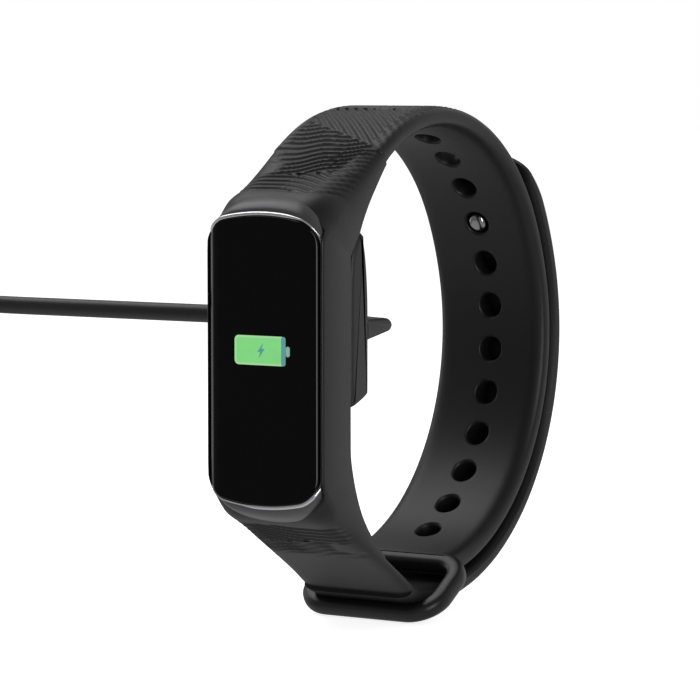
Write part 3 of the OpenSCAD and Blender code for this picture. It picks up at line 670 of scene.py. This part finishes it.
def keeperPath(k):
    # centre line of the bars: x = (W - c) cos, y = (L - c) sin with rounded corners, and each point's outward normal
    w = k["width"] / 2 - k["side"] / 2
    y0, y1 = 0.0, k["length"] - k["back"] / 2
    r = k["corner"] - k["side"] / 2
    quarter = np.linspace(0, math.pi / 2, 13)
    corners = [(w - r, y1 - r, 0), (-w + r, y1 - r, math.pi / 2), (-w + r, y0 + r, math.pi),
               (w - r, y0 + r, 1.5 * math.pi)]
    points, normals = [], []
    for cx, cy, a0 in corners:
        a = a0 + quarter
        points.append(np.stack([cx + r * np.cos(a), cy + r * np.sin(a)], axis=1))
        normals.append(np.stack([np.cos(a), np.sin(a)], axis=1))
    return np.concatenate(points), np.concatenate(normals)


ringPoints, ringNormals = keeperPath(keeper)
angles = np.linspace(0, 2 * math.pi, 28, endpoint=False)
# superellipse section: |x / a|^n + |z / b|^n = 1
power = 2 / 2.7
sectionA = np.sign(np.cos(angles)) * np.abs(np.cos(angles)) ** power
sectionB = np.sign(np.sin(angles)) * np.abs(np.sin(angles)) ** power
frontness = smoothStep(-ringNormals[:, 1], 0.2, 1.0)
backness = smoothStep(ringNormals[:, 1], 0.2, 1.0)
barHalf = (keeper["side"] / 2 + (keeper["bar"] - keeper["side"]) / 2 * frontness
           + (keeper["back"] - keeper["side"]) / 2 * backness)
flatX = ringPoints[:, 0][:, None] + ringNormals[:, 0][:, None] * barHalf[:, None] * sectionA[None, :]
flatY = ringPoints[:, 1][:, None] + ringNormals[:, 1][:, None] * barHalf[:, None] * sectionA[None, :]
flatZ = np.broadcast_to(keeper["thick"] / 2 * sectionB[None, :], flatX.shape)
tilt = math.radians(keeper["tilt"])
ringVerts = np.stack([flatX, keeper["front"][0] + flatY * math.cos(tilt) - flatZ * math.sin(tilt),
                      keeper["front"][1] + flatY * math.sin(tilt) + flatZ * math.cos(tilt)], axis=2)
keeperRing = addPiece("keeperLoop", ringVerts.reshape(-1, 3), gridFaces(len(ringPoints), len(angles), True, True),
                      keeperSilicone, "band", "keeper_silicone", 60.0)
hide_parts("keeper_ring")
print("stud and keeper made")


pod = {"glassWidth": 16.8, "glassHeight": 37.6, "glassCorner": 3.4, "endRadius": 28.0, "flatHalf": 5.7, "edgeDrop": 1.0,
       "frameWidth": 17.2, "frameHeight": 43.2, "frameCorner": 6.4, "frameEnd": 30.0}


def lensDepth(x, drop):
    # a lens curved only towards its long sides: depth = drop * ((|x| - flat) / (edge - flat))^3
    t = np.clip((np.abs(x) - pod["flatHalf"]) / (pod["glassWidth"] / 2 - pod["flatHalf"]), 0, 1)
    return 0.05 + drop * t ** 3


lensInsets = np.array([0.0, 0.03, 0.09, 0.18, 0.3, 0.45, 0.62, 0.82, 1.05, 1.3, 1.6, 1.95, 2.35, 2.8, 3.5, 4.4,
                       5.5, 6.6, 7.6])
rim = np.array([0.16, 0.08, 0.02])
rings = []
base = podOutline(pod["glassWidth"], pod["glassHeight"], pod["glassCorner"], pod["endRadius"])
rings.append(np.stack([base[:, 0] * 0.5, np.full(len(base), frontY + 1.34), podZ + base[:, 1] * 0.85], axis=1))
rings.append(np.stack([base[:, 0], np.full(len(base), frontY + 1.34), podZ + base[:, 1]], axis=1))
for k, inset in enumerate(lensInsets):
    o = podOutline(pod["glassWidth"] - 2 * inset, pod["glassHeight"] - 2 * inset, max(pod["glassCorner"] - inset, 0.25),
                   pod["endRadius"] - inset)
    extra = rim[k] if k < len(rim) else 0.0
    rings.append(np.stack([o[:, 0], frontY + lensDepth(o[:, 0], pod["edgeDrop"]) + extra, podZ + o[:, 1]], axis=1))
lens = addPiece("displayLens", *closedTube(np.array(rings)), lensBlack, "tracker", "cover_lens", 25.0)
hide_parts("cover_glass")

# plated trim: a small round wire let in round the lens
trimLine = podOutline(pod["glassWidth"] + 0.14, pod["glassHeight"] + 0.44, pod["glassCorner"] + 0.07,
                      pod["endRadius"], 15, 25, 31)
trimNext = np.roll(trimLine, -1, axis=0) - np.roll(trimLine, 1, axis=0)
trimNormal = np.stack([trimNext[:, 1], -trimNext[:, 0]], axis=1)
trimNormal /= np.linalg.norm(trimNormal, axis=1)[:, None]
trimAngles = np.linspace(0, 2 * math.pi, 10, endpoint=False)
# the wire stands proud at the two ends and sinks behind the lens's edge along the sides
atEnds = smoothStep(np.abs(trimLine[:, 1]), 15.2, 17.4)
broad = np.where(trimLine[:, 1] > 0, smoothStep(-trimLine[:, 0], -6.6, -3.4), smoothStep(trimLine[:, 0], -3.6, -0.6))
trimRadius = (0.13 + 0.17 * broad * atEnds)[:, None]
trimDepth = 0.36 + lensDepth(trimLine[:, 0], pod["edgeDrop"]) * 0.75 + 0.65 * (1 - atEnds)
trimOut = trimRadius * np.cos(trimAngles)[None, :]
trimVerts = np.stack([trimLine[:, 0][:, None] + trimNormal[:, 0][:, None] * trimOut,
                      frontY + trimDepth[:, None] + trimRadius * 0.9 * np.sin(trimAngles)[None, :],
                      podZ + trimLine[:, 1][:, None] + trimNormal[:, 1][:, None] * trimOut], axis=2)
addPiece("lensTrim", trimVerts.reshape(-1, 3), gridFaces(len(trimLine), len(trimAngles), True, True), trimMetal,
         "tracker", "frame_metal")

# frame with its two collars: straight from the lens's edge to the outer outline,
# its depth growing with the share of that way to the power 2.6
frameIn = podOutline(pod["glassWidth"] + 0.1, pod["glassHeight"] + 0.1, pod["glassCorner"] + 0.05,
                     pod["endRadius"], 15, 25, 31)
frameOut = podOutline(pod["frameWidth"], pod["frameHeight"], pod["frameCorner"], pod["frameEnd"], 15, 25, 31)
outDepth = 1.7 + 3.3 * np.clip((np.abs(frameOut[:, 1]) - 16.5) / 5.1, 0, 1) ** 1.3
innerDepth = 0.48 + lensDepth(frameIn[:, 0], pod["edgeDrop"]) * 0.75
share = np.concatenate([[0.0, 0.02, 0.06], np.linspace(0.12, 1.0, 22)])
chamfer = np.array([0.16, 0.03, 0.0] + [0.0] * 22)
frameRings = []
for f, c in zip(share, chamfer):
    xz = frameIn * (1 - f) + frameOut * f
    d = innerDepth + (outDepth - innerDepth) * f ** 2.6 + c
    frameRings.append(np.stack([xz[:, 0], frontY + d, podZ + xz[:, 1]], axis=1))
skirt = frameOut * [0.985, 0.99]
frameRings.append(np.stack([skirt[:, 0], frontY + outDepth + 0.45, podZ + skirt[:, 1]], axis=1))
lip = frameIn * 0.99
frameRings.append(np.stack([lip[:, 0], frontY + np.maximum(innerDepth + 0.8, 1.5), podZ + lip[:, 1]], axis=1))
frameRings = np.array(frameRings)
faceFrame = addPiece("lensFrame", frameRings.reshape(-1, 3),
                     gridFaces(len(frameRings), frameRings.shape[1], True, True),
                     graphiteCoat, "tracker", "frame_metal", 50.0)
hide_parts("front_frame")


def litInk(name, colour, strength):
    # an OLED area seen through the lens: its own light, slightly uneven from cell to cell
    material, tree, shader, where = startMaterial(name, "#101010", 0.3, 0.0,
                                                  {"Specular IOR Level": 0.1, "Emission Strength": strength})
    cells = addNode(tree, "ShaderNodeTexNoise", {"Scale": 1 / (1.6 * mm), "Detail": 1.0}, {"Vector": where})
    tint = addNode(tree, "ShaderNodeMix", {"data_type": "RGBA"}, {"Factor": cells.outputs["Fac"]})
    tone = np.array(toLinear(colour))
    tint.inputs[6].default_value = tuple(tone[:3] * 0.93) + (1.0,)
    tint.inputs[7].default_value = tuple(np.clip(tone[:3] * 1.05, 0, 1)) + (1.0,)
    tree.links.new(tint.outputs[2], shader.inputs["Emission Color"])
    return material


def roundedBox(x0, x1, z0, z1, radius, perCorner=6):
    # corner circles of that radius joined by straight sides
    a = np.linspace(0, math.pi / 2, perCorner)
    parts = []
    for cx, cz, turn in ((x1 - radius, z1 - radius, 0), (x0 + radius, z1 - radius, 1), (x0 + radius, z0 + radius, 2),
                         (x1 - radius, z0 + radius, 3)):
        t = a + turn * math.pi / 2
        parts.append(np.stack([cx + radius * np.cos(t), cz + radius * np.sin(t)], axis=1))
    return np.concatenate(parts)


def litPlate(name, outline, depth, material):
    # a thin plate: the outline at depth and 0.02 mm behind it
    o = np.asarray(outline, float)
    return addPiece(name, *closedTube(prismRings([o, o], [depth, depth + 0.02])), material, "tracker", "screen", 30.0)


symbolGreen = litInk("oledGreen", "#83d983", 0.95)
symbolRim = litInk("oledPaleGreen", "#a3dca0", 0.95)
symbolTeal = litInk("oledTeal", "#5a9c97", 0.95)
symbolNub = litInk("oledGreyGreen", "#84b4a2", 0.9)
litPlate("batteryRim", roundedBox(-3.93, 3.85, -0.52, 3.30, 0.62), 0.035, symbolRim)
litPlate("batteryFill", roundedBox(-3.62, 3.2, -0.26, 3.04, 0.4), 0.026, symbolGreen)
litPlate("batteryStrip", roundedBox(3.24, 3.92, -0.50, 3.28, 0.32), 0.018, symbolTeal)
litPlate("batteryNub", roundedBox(3.95, 4.55, 0.70, 2.05, 0.28), 0.03, symbolNub)
bolt = [(0.52, 2.42), (-0.42, 1.20), (0.02, 1.20), (-0.18, 0.36), (0.72, 1.62), (0.26, 1.62)]
litPlate("batteryBolt", bolt, 0.012, symbolTeal)
print("pod made")


cradle = {"halfWidth": 8.8, "edge": 0.7, "ridgeY": frontY + 16.9, "ridgeZ": 41.2, "ridgeThick": 2.2, "ridgeThin": 0.95}


def cushionedSlab(profile, halfWidth, edge, steps=6):
    # a closed Y-Z profile carried across X; near each side it is pulled in along its normals
    # as a quarter circle of radius edge
    p = np.asarray(profile, float)
    nextStep = np.roll(p, -1, axis=0) - np.roll(p, 1, axis=0)
    normal = np.stack([nextStep[:, 1], -nextStep[:, 0]], axis=1)
    normal /= np.linalg.norm(normal, axis=1)[:, None]
    area = 0.5 * np.sum(p[:, 0] * np.roll(p[:, 1], -1) - np.roll(p[:, 0], -1) * p[:, 1])
    normal *= 1 if area > 0 else -1
    q = np.linspace(0, math.pi / 2, steps)
    xs = np.concatenate([-(halfWidth - edge) - edge * np.sin(q[::-1]), (halfWidth - edge) + edge * np.sin(q)])
    pull = np.concatenate([edge * (1 - np.cos(q[::-1])), edge * (1 - np.cos(q))])
    yz = p[None, :, :] - normal[None, :, :] * pull[:, None, None]
    x = np.broadcast_to(xs[:, None], yz.shape[:2])
    return np.stack([x, yz[:, :, 0], yz[:, :, 1]], axis=2)


def roundedLoop(points, times):
    # a closed outline with each corner cut a quarter of the way, times over
    p = np.asarray(points, float)
    for _ in range(times):
        b = np.roll(p, -1, axis=0)
        p = np.stack([p * 0.8 + b * 0.2, p * 0.2 + b * 0.8], axis=1).reshape(-1, 2)
    return p


# the shell's profile: depth behind the glass's front, and height
shellProfile = [(8.3, 31.0), (9.4, 31.0), (12.7, 32.3), (12.8, 32.9), (12.8, 37.0), (12.8, 44.2), (12.6, 47.5),
                (12.2, 50.6), (11.6, 52.9), (11.1, 53.75), (10.75, 53.8), (8.3, 50.4)]
shellRings = cushionedSlab(roundedLoop([(frontY + d, z) for d, z in shellProfile], 2), cradle["halfWidth"], cradle["edge"])
cradleShell = addPiece("cradleShell", *closedTube(shellRings), cradlePlastic, "charger", "cradle_plastic", 35.0)
# the shell's front is hollowed so that its rim hugs the case
trayOutline = podOutline(16.1, 37.1, 4.2, 28.0)
tray = scratchSolid("trayCut", *closedTube(prismRings([trayOutline, trayOutline], [2.0, 9.32])))
cutWith(cradleShell, [tray], 35.0)
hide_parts("cradle_base", "cradle_cover")
# ridge on the back: a rounded bar on a neck, thick where the cable enters and thinner towards the other end
t = np.linspace(-math.pi * 0.5, math.pi * 0.5, 19)
ridgeX = np.concatenate([-8.7 + 1.3 * (1 - np.cos(np.linspace(0, math.pi / 2, 8))), np.linspace(-7.2, 7.6, 24),
                         8.7 - 0.7 * (1 - np.sin(np.linspace(0.2, math.pi / 2, 8)))])
endIn = np.minimum(np.clip((ridgeX + 8.7) / 1.3, 0, 1), np.clip((8.72 - ridgeX) / 0.9, 0, 1))
endIn = np.sqrt(np.clip(1 - (1 - endIn) ** 2, 0.06, 1))
ridgeFall = cradle["ridgeThin"] - cradle["ridgeThick"]
thick = (cradle["ridgeThick"] + ridgeFall * smoothStep(ridgeX, -7.0, 8.0)) * endIn
reach = cradle["ridgeY"] + cradle["ridgeThick"] - thick - (1 - endIn) * 0.7
ridgeRings = []
for x, r, tip in zip(ridgeX, thick, reach):
    cap = np.stack([tip + r * np.cos(t), cradle["ridgeZ"] + r * np.sin(t)], axis=1)
    low, high = cradle["ridgeZ"] - r - 0.75, cradle["ridgeZ"] + r + 0.12
    loop = np.concatenate([[(frontY + 12.6, low - 0.25), (frontY + 13.4, low)], cap,
                           [(frontY + 13.4, high), (frontY + 12.6, high + 0.2)]])
    ridgeRings.append(np.stack([np.full(len(loop), x), loop[:, 0], loop[:, 1]], axis=1))
addPiece("cradleRidge", *closedTube(np.array(ridgeRings)), cradlePlastic, "charger", "cradle_plastic", 50.0)

# strain relief: a taper with five rings cut in it
at = np.linspace(-16.5, -8.2, 84)
taper = 1.42 + (2.0 - 1.42) * (at + 16.5) / 8.3
cutsIn = 0.22 * np.clip(np.cos((at + 15.4) / 1.35 * 2 * math.pi) * 3 - 1.6, 0, 1) * (at > -15.9) * (at < -9.4)
reliefProfile = np.concatenate([[(-16.52, 0.03), (-16.52, 1.30)], np.stack([at, taper - cutsIn], axis=1),
                                [(-8.1, 0.03)]])
relief = addPiece("cableRelief", *closedTube(lathe(reliefProfile, (0, cable["y"], cable["z"]), (1, 0, 0), 32)),
                  jacketRubber, "charger", "cable_jacket", 40.0)
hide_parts("strain_relief")

# plug grip: a soft block with rounded edges and a waist
gripBox = [np.array(v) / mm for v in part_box("usb_grip")]
gripLow, gripHigh = gripBox
gripX, gripZ = (gripLow[0] + gripHigh[0]) / 2, (gripLow[2] + gripHigh[2]) / 2
gripAlong = np.concatenate([[0, 0.15, 0.5, 1.0, 1.6], np.linspace(2.4, 17.6, 20), [18.6, 19.3, 19.7, 19.9, 20.0]])
edgeIn = 1.5 * (1 - np.sqrt(np.clip(1 - (1 - np.clip(np.minimum(gripAlong, 20 - gripAlong) / 1.5, 0, 1)) ** 2, 0, 1)))
gripNotches = (np.cos(gripAlong * 2 * math.pi / 1.7) > 0.3) * (gripAlong > 3) * (gripAlong < 12)
waist = 0.5 * np.exp(-((gripAlong - 7) / 4.5) ** 2) + 0.16 * gripNotches
gripRings = []
for d, e, w in zip(gripAlong, edgeIn, waist):
    outline = roundedBox(-7.7 + e + w, 7.7 - e - w, -3.75 + e, 3.75 - e, max(2.2 - e * 0.6, 0.5), 7)
    gripRings.append(np.stack([gripX + outline[:, 0], np.full(len(outline), gripHigh[1] - d), gripZ + outline[:, 1]],
                              axis=1))
plugGrip = addPiece("plugGrip", *closedTube(np.array(gripRings)), cradlePlastic, "charger", "cable_jacket", 40.0)
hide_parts("usb_grip")
print("cradle, relief and plug made")


# FR4 board with green solder mask, polyimide film, foil pouch, resin and plated parts
solderMask = grainFinish("solderMaskGreen", "#1d5b35", "#16492a", 0.32, 0.5, 0.004)
polyimide = grainFinish("polyimideFilm", "#b4762c", "#9c6222", 0.28, 0.8, 0.002)
foilPouch = grainFinish("aluminiumPouch", "#b9bcc2", "#a7aab0", 0.34, 0.9, 0.015, metallic=0.9)
openFoam = grainFinish("openCellFoam", "#d9d9d4", "#c2c2bc", 0.85, 0.22, 0.05)
sealRubber = grainFinish("foamGasket", "#2a2a2c", "#232325", 0.75, 0.2, 0.02)
chassisPlastic = grainFinish("glassFilledNylon", "#3a3a3d", "#313134", 0.55, 0.3, 0.015)
chipResin = grainFinish("epoxyMouldCompound", "#1a1a1c", "#141416", 0.55, 0.12, 0.006)
screenGlass = grainFinish("oledPanel", "#08090c", "#050608", 0.10, 1.2, 0.001)
tinnedSteel = brushedFinish("tinnedSteel", "#bcbec0", 0.30, (1, 1, 8))
drawnSteel = brushedFinish("drawnSteelCan", "#a6a8ad", 0.26, (1, 8, 1))
tungsten = grainFinish("sinteredTungsten", "#6c6e73", "#5c5e62", 0.42, 0.1, 0.006, metallic=1.0)
goldPlate = grainFinish("goldPlate", "#d8b259", "#c9a24a", 0.20, 0.3, 0.002, metallic=1.0)
antennaCopper = grainFinish("platedAntennaStrip", "#c79a4a", "#b58a3e", 0.28, 0.3, 0.003, metallic=1.0)
nickelPlate = grainFinish("nickelPlate", "#c0c2c6", "#b0b2b6", 0.22, 0.4, 0.003, metallic=1.0)
plugSteel = brushedFinish("nickelPlatedShell", "#c9cbcd", 0.24, (8, 1, 8))
plugBlack = grainFinish("plugInsulator", "#131315", "#0e0e10", 0.45, 0.2, 0.008)
ledResin = grainFinish("greenLedResin", "#4fae62", "#429a54", 0.18, 0.4, 0.002)
sensorGlass = grainFinish("smokedSensorWindow", "#15191e", "#101318", 0.06, 1.5, 0.001)
nodeFinish = {
    "display_panel": screenGlass, "display_flex": polyimide, "case_seal": sealRubber, "pod_case": casePlastic,
    "inner_chassis": chassisPlastic, "battery_cell": foilPouch, "battery_foam": openFoam, "main_board": solderMask,
    "shield_can": tinnedSteel, "radio_chip": chipResin, "motion_sensor": chipResin, "antenna_strip": antennaCopper,
    "chassis_screws": nickelPlate, "motor_case": drawnSteel, "motor_weight": tungsten, "sensor_board": solderMask,
    "sensor_leds": ledResin, "light_sensor": chipResin, "sensor_window": sensorGlass, "charging_contacts": goldPlate,
    "cradle_board": solderMask, "cradle_magnets": nickelPlate, "pin_barrels": goldPlate, "left_pin": goldPlate,
    "right_pin": goldPlate, "usb_shell": plugSteel, "usb_tongue": plugBlack, "usb_contacts": goldPlate}
for name, material in nodeFinish.items():
    nodes[name].data.materials.clear()
    nodes[name].data.materials.append(material)
print("node finishes set:", len(nodeFinish))

bpy.context.scene.view_settings.view_transform = "Standard"
